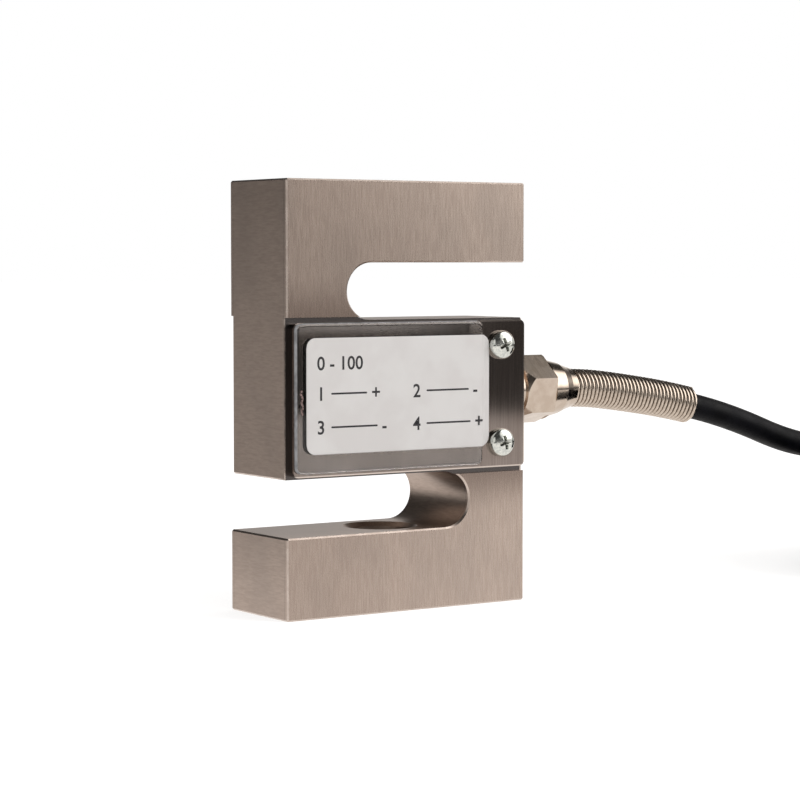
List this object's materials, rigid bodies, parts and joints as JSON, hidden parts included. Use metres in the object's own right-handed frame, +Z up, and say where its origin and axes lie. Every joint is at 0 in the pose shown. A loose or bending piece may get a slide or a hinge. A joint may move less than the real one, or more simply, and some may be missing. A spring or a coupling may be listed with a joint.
{
  "type": "s type load cell",
  "caption": "S type load cell: a slotted metal block with threaded ends, screwed side covers, a cable gland, a spring strain relief and a folded signal cable.",
  "frame": {"origin": "centre of the bottom face, where the load axis leaves the body", "axes": "+Z up along the load axis, +X towards the cable gland and its cable, -Y towards the labelled cover"},
  "size_m": [0.2144, 0.0604, 0.0762],
  "materials": {
    "body_steel": "ground and brushed, bare metal",
    "cover_steel": "satin, fine lengthwise brushing",
    "clear_plastic": "clear acrylic with bevelled edges",
    "label_film": "printed matt film",
    "zinc": "bright zinc plate",
    "nickel_brass": "nickel plated, glossy",
    "bush_rubber": "moulded",
    "spring_steel": "polished wire",
    "cable_jacket": "slightly glossy PVC",
    "tie_nylon": "moulded nylon",
    "red_pvc": "extruded",
    "black_pvc": "extruded",
    "green_pvc": "extruded",
    "white_pvc": "extruded",
    "tinned_wire": "tinned strands",
    "gauge_foil": "amber film",
    "sealant": "cured silicone",
    "board_laminate": "glass-epoxy board"
  },
  "bodies": {
    "root": {"s_beam": "body_steel", "front_cover": "cover_steel", "rear_cover": "cover_steel", "clear_plate": "clear_plastic", "label": "label_film", "front_screw_upper": "zinc", "front_screw_lower": "zinc", "rear_screw_upper": "zinc", "rear_screw_lower": "zinc", "gauge_front_left": "gauge_foil", "gauge_front_right": "gauge_foil", "gauge_rear_left": "gauge_foil", "gauge_rear_right": "gauge_foil", "front_coating": "sealant", "rear_coating": "sealant", "bridge_board": "board_laminate", "gland_body": "nickel_brass", "gland_nut": "nickel_brass", "gland_bush": "bush_rubber", "inner_cable": "cable_jacket", "lead_red": "red_pvc", "lead_black": "black_pvc", "lead_green": "green_pvc", "lead_white": "white_pvc", "relief_spring": "spring_steel", "cable": "cable_jacket", "cable_hank": "cable_jacket", "tie_rear": "tie_nylon", "tie_front": "tie_nylon", "cable_tail": "cable_jacket", "core_red": "red_pvc", "core_green": "green_pvc", "core_white": "white_pvc", "core_black": "black_pvc", "shield_drain": "tinned_wire"}
  },
  "joints": []
}
